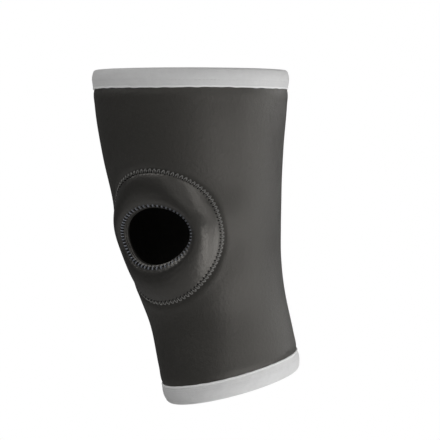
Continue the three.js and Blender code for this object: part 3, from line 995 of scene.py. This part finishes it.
def stitch_turn(tree, given):
    """Square to the cloth. Every second stitch slants the other way, and each is a little off."""
    out = add(tree, "GeometryNodeInputNamedAttribute", {"data_type": "FLOAT_VECTOR"}, Name="out")
    cross = add(tree, "GeometryNodeInputNamedAttribute", {"data_type": "FLOAT_VECTOR"}, Name="cross")
    upright = add(tree, "FunctionNodeAxesToRotation", {"primary_axis": "X", "secondary_axis": "Z"},
                  input_0=cross.outputs[0], input_1=out.outputs[0])
    index = add(tree, "GeometryNodeInputIndex").outputs[0]
    odd = add(tree, "ShaderNodeMath", {"operation": "MODULO"}, input_0=index, input_1=2.0)
    sign = add(tree, "ShaderNodeMath", {"operation": "MULTIPLY_ADD"},
               input_0=odd.outputs[0], input_1=2.0, input_2=-1.0)
    slant = add(tree, "ShaderNodeMath", {"operation": "MULTIPLY"}, input_0=sign.outputs[0], input_1=given["Slant"])
    wobble = add(tree, "FunctionNodeRandomValue", {"data_type": "FLOAT"}, input_2=-1.0, input_3=1.0, Seed=SEED)
    shake = add(tree, "ShaderNodeMath", {"operation": "MULTIPLY_ADD"}, input_0=wobble.outputs[1],
                input_1=given["Unevenness"], input_2=slant.outputs[0])
    about = add(tree, "ShaderNodeCombineXYZ", Z=shake.outputs[0])
    euler = add(tree, "FunctionNodeEulerToRotation", input_0=about.outputs[0])
    turned = add(tree, "FunctionNodeRotateRotation", {"rotation_space": "LOCAL"},
                 input_0=upright.outputs[0], input_1=euler.outputs[0])
    return turned.outputs[0]


# %% The stitch tree
def stitch_tree():
    """A tree that sets a short thread at each point of a seam, with its sizes as named inputs."""
    tree = bpy.data.node_groups.new("stitches along a seam", "GeometryNodeTree")
    tree.interface.new_socket("Seam", in_out="INPUT", socket_type="NodeSocketGeometry")
    for name, value in (("Thread radius", 0.0004), ("Stitch length", 0.003), ("Arch", 0.0008),
                        ("Slant", 0.0), ("Unevenness", 0.06)):
        tree.interface.new_socket(name, in_out="INPUT", socket_type="NodeSocketFloat").default_value = value
    tree.interface.new_socket("Thread", in_out="INPUT", socket_type="NodeSocketMaterial")
    tree.interface.new_socket("Stitches", in_out="OUTPUT", socket_type="NodeSocketGeometry")
    given = add(tree, "NodeGroupInput").outputs
    holes = add(tree, "GeometryNodeMeshToPoints", Mesh=given["Seam"])
    placed = add(tree, "GeometryNodeInstanceOnPoints", Points=holes.outputs[0], Instance=thread_arch(tree, given),
                 Rotation=stitch_turn(tree, given))
    real = add(tree, "GeometryNodeRealizeInstances", Geometry=placed.outputs[0])
    smooth = add(tree, "GeometryNodeSetShadeSmooth", Geometry=real.outputs[0])
    dressed = add(tree, "GeometryNodeSetMaterial", Geometry=smooth.outputs[0], Material=given["Thread"])
    add(tree, "NodeGroupOutput", Stitches=dressed.outputs[0])
    return tree


STITCHES = stitch_tree()
print("stitch tree:", len(STITCHES.nodes), "nodes")


# %% Sew at needle places
def sew(name, places, out, cross, thread, settings):
    """Makes one piece of thread from needle places, with the ways out of the cloth and along each stitch."""
    mesh = bpy.data.meshes.new(name)
    mesh.from_pydata((places / 1000).tolist(), [], [])
    for label, values in (("out", out), ("cross", cross)):
        unit = values / np.linalg.norm(values, axis=1, keepdims=True)
        mesh.attributes.new(label, "FLOAT_VECTOR", "POINT").data.foreach_set("vector", unit.ravel())
    seam = bpy.data.objects.new(name, mesh)
    bpy.context.scene.collection.objects.link(seam)
    sewing = seam.modifiers.new("sewing", "NODES")
    sewing.node_group = STITCHES
    sockets = {s.name: s.identifier for s in STITCHES.interface.items_tree if s.in_out == "INPUT"}
    for label, value in {**settings, "Thread": thread}.items():
        sewing[sockets[label]] = value
    bpy.context.view_layer.update()
    ready = seam.evaluated_get(bpy.context.evaluated_depsgraph_get())
    thread_mesh = bpy.data.meshes.new_from_object(ready)
    seam.modifiers.remove(sewing)
    seam.data = thread_mesh
    thread_mesh.name = name
    bpy.data.meshes.remove(mesh)
    print(name, len(thread_mesh.polygons), "faces")
    return seam


# %% Seams round the ring
def ring_seam(seam, low, high, per_stitch=1, shift=0.0):
    """Places of a seam's stitches, each laid between two offsets from its outline, with the ways out of the
    cloth and across the seam."""
    direction = needle_directions(seam, per_stitch, shift)
    ends = []
    for offset in (low, high):
        distance = reach(seam["outline"], direction) + offset
        x, y = distance * np.cos(direction), distance * np.sin(direction)
        on_cover = cover_lift(direction, distance)
        on_sheet = sheet_lift(x + ASIDE, along_at(y))
        lift = np.where(distance < reach(PAD, direction), on_cover, on_sheet) + 0.1
        ends.append(on_knee(x, y, lift))
    middle = (ends[0] + ends[1]) / 2
    cross = ends[1] - ends[0]
    out = np.cross(cross, np.roll(middle, -1, axis=0) - np.roll(middle, 1, axis=0))
    distance = reach(seam["outline"], direction)
    x, y = distance * np.cos(direction), distance * np.sin(direction)
    outside = on_knee(x, y, 5.0) - on_knee(x, y, 0.0)
    out *= np.sign(np.einsum("ij,ij->i", out, outside))[:, None]
    return middle, out, cross


# Grey zigzag over the pad's edge, grey bars round the opening, and the black loopers that lie between them. The
# loopers are real thread, made darker than the knit as painted shade: dark gaps between the grey stitches, and a
# dark lip round the opening.
zigzag = sew("pad_edge_zigzag", *ring_seam(PAD_SEAM, -2.2, 1.1, per_stitch=2), DARK_THREAD, {
    "Stitch length": 0.0039, "Thread radius": 0.00036, "Arch": 0.0005, "Slant": math.radians(24)})
looper = sew("pad_edge_looper_painted_shade", *ring_seam(PAD_SEAM, -2.7, -0.9, shift=0.25), SHADE_LOOPER_THREAD, {
    "Stitch length": 0.0021, "Thread radius": 0.0005, "Arch": 0.0003})
overlock = sew("opening_overlock_stitch", *ring_seam(OPENING_SEAM, 1.0, 3.3), COOL_THREAD, {
    "Stitch length": 0.0027, "Thread radius": 0.0005, "Arch": 0.0007, "Unevenness": 0.1})
lip_looper = sew("opening_lip_looper_painted_shade", *ring_seam(OPENING_SEAM, 0.0, 3.2, shift=0.5), SHADE_LOOPER_THREAD, {
    "Stitch length": 0.0034, "Thread radius": 0.0006, "Arch": 0.0005})


# %% Straight stitches along both tapes
def hem_seam(from_hem, outside):
    """Places of the stitches on one face of a tape, with the ways out of the cloth and along the seam. The outer
    flap bellies out, so its seam lies higher."""
    count = hem_stitches(from_hem)
    depth = TAPE_WIDTH - STITCH_FROM_EDGE
    height = OUTSIDE + TAPE_THICKNESS - SEAM_THINNER
    lift = height + 0.25 if outside else -WALL - height
    middle = hem_line(from_hem, depth, lift, count)
    cross = np.roll(middle, -1, axis=0) - np.roll(middle, 1, axis=0)
    out = hem_line(from_hem, depth, lift + (2 if outside else -2), count) - middle
    return middle, out, cross


hem_threads = []
for label, from_hem in (("thigh", from_top), ("calf", from_bottom)):
    for face in ("outer", "inner"):
        hem_threads.append(sew(f"{label}_hem_{face}_stitch", *hem_seam(from_hem, face == "outer"), PALE_THREAD, {
            "Stitch length": 0.0025, "Thread radius": 0.0002, "Arch": 0.00015, "Unevenness": 0.04}))

# %% [markdown]
# ## What each piece stands for
#
# The solids of the frame stay for weight and contact, and the cloth pieces stand for them in the picture.

# %% Bind the pieces to the frame
for piece, node, slot in ((tube, "sleeve_body", "neoprene_knit"), (top_tape, "top_hem_tape", "hem_tape_knit"),
                          (bottom_tape, "bottom_hem_tape", "hem_tape_knit"), (pad, "kneecap_pad", "pad_cover_knit")):
    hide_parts(node)
    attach(piece, "root")
for thread in (zigzag, looper, overlock, lip_looper, *hem_threads):
    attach(thread, "root")

# %% [markdown]
# ## Floor and light
#
# The floor is pale paper, and from further off the camera sees plain white, so no horizon shows. One big lamp
# would do for a matt object, but black knit shows its form only by its soft gloss, and gloss is the picture of
# the lamps. So soft boxes stand in a row to the right: they draw the light flank, a high one reaches the upper
# part of the ring's slope, and low ones reach the lower part. The two strong ones to the left stand high, where
# the tapes catch their light and the upright knit doesn't throw it to the camera. A faint even glow fills the
# shadows.

# %% Floor
FLOOR_HEIGHT = -0.7
FLOOR_RADIUS, FLOOR_CORNERS = 60, 64
PAPER_FADES = (0.35, 1.3)  # from the middle, in metres: where plain white begins and where it is complete


def make_floor():
    """A round sheet of paper that the camera sees as plain white further off."""
    mesh = bpy.data.meshes.new("paper_floor")
    turns = np.linspace(0, 2 * math.pi, FLOOR_CORNERS + 1)[:-1]
    ring = [(FLOOR_RADIUS * math.cos(a), FLOOR_RADIUS * math.sin(a), FLOOR_HEIGHT) for a in turns]
    mesh.from_pydata(ring, [], [list(range(FLOOR_CORNERS))])
    floor = bpy.data.objects.new("paper_floor", mesh)
    bpy.context.scene.collection.objects.link(floor)
    paper = bpy.data.materials.new("pale paper")
    paper.use_nodes = True
    tree = paper.node_tree
    tree.nodes.clear()
    place = add(tree, "ShaderNodeTexCoord").outputs["Object"]
    flat = add(tree, "ShaderNodeVectorMath", {"operation": "MULTIPLY"}, input_0=place, input_1=(1, 1, 0))
    far = add(tree, "ShaderNodeVectorMath", {"operation": "LENGTH"}, input_0=flat.outputs[0])
    fade = add(tree, "ShaderNodeMapRange", {"interpolation_type": "SMOOTHSTEP"}, Value=far.outputs["Value"],
               From_Min=PAPER_FADES[0], From_Max=PAPER_FADES[1])
    seen = add(tree, "ShaderNodeLightPath").outputs["Is Camera Ray"]
    near = add(tree, "ShaderNodeBsdfDiffuse", Color=linear("#e9e9e9"))
    glow = add(tree, "ShaderNodeEmission", Color=(1, 1, 1, 1), Strength=seen)
    far_seen = add(tree, "ShaderNodeMath", {"operation": "MULTIPLY"}, input_0=fade.outputs[0], input_1=seen)
    mix = add(tree, "ShaderNodeMixShader", input_0=far_seen.outputs[0], input_1=near.outputs[0],
              input_2=glow.outputs[0])
    add(tree, "ShaderNodeOutputMaterial", Surface=mix.outputs[0])
    mesh.materials.append(paper)
    print("floor at", FLOOR_HEIGHT, "m")


make_floor()


# %% Lights
def soft_box(name, azimuth, elevation, distance, size, power):
    """An area light that faces the sleeve. Azimuth is round from the camera, positive to its right."""
    a, e = math.radians(azimuth), math.radians(elevation)
    way = -away * math.cos(a) * math.cos(e) + to_right * math.sin(a) * math.cos(e) + Vector((0, 0, math.sin(e)))
    data = bpy.data.lights.new(name, "AREA")
    data.shape = "RECTANGLE"
    data.size, data.size_y = size
    data.energy = power
    light = bpy.data.objects.new(name, data)
    bpy.context.scene.collection.objects.link(light)
    light.location = way * distance
    light.rotation_euler = (-way).to_track_quat("-Z", "Z").to_euler()


for name, azimuth, elevation, distance, size, power in (
    # degrees, degrees, metres, metres, watts
    ("high front right box", 20, 30, 1.6, (0.8, 0.6), 4.4),
    ("right box", 48, 10, 1.6, (0.7, 0.6), 3.0),
    ("low right box", 80, -15, 1.6, (0.6, 0.4), 2.4),
    ("near low front box", 34, -36, 1.0, (0.5, 0.3), 2.6),
    ("near low right box", 74, -30, 1.0, (0.5, 0.3), 1.6),
    ("right rear box", 100, 10, 1.6, (0.6, 0.6), 2.9),
    ("right rear box beside it", 122, 10, 1.6, (0.7, 0.6), 4.4),
    ("front left box", -20, 10, 1.6, (0.6, 0.6), 1.4),
    ("left box", -60, 36, 1.6, (0.6, 0.6), 4.4),
    ("left rear box", -100, 34, 1.6, (0.6, 0.6), 5.0),
):
    soft_box(name, azimuth, elevation, distance, size, power)

# %% Surroundings: white to the camera, and only a faint glow to the sleeve
GLOW = 0.08

world = bpy.data.worlds.new("studio")
world.use_nodes = True
tree = world.node_tree
tree.nodes.clear()
seen = add(tree, "ShaderNodeLightPath").outputs["Is Camera Ray"]
strength = add(tree, "ShaderNodeMapRange", Value=seen, To_Min=GLOW, To_Max=1.0)
glow = add(tree, "ShaderNodeBackground", Color=(1, 1, 1, 1), Strength=strength.outputs[0])
add(tree, "ShaderNodeOutputWorld", Surface=glow.outputs[0])
bpy.context.scene.world = world
bpy.context.scene.view_settings.view_transform = "Standard"
print("the world glows at", GLOW)
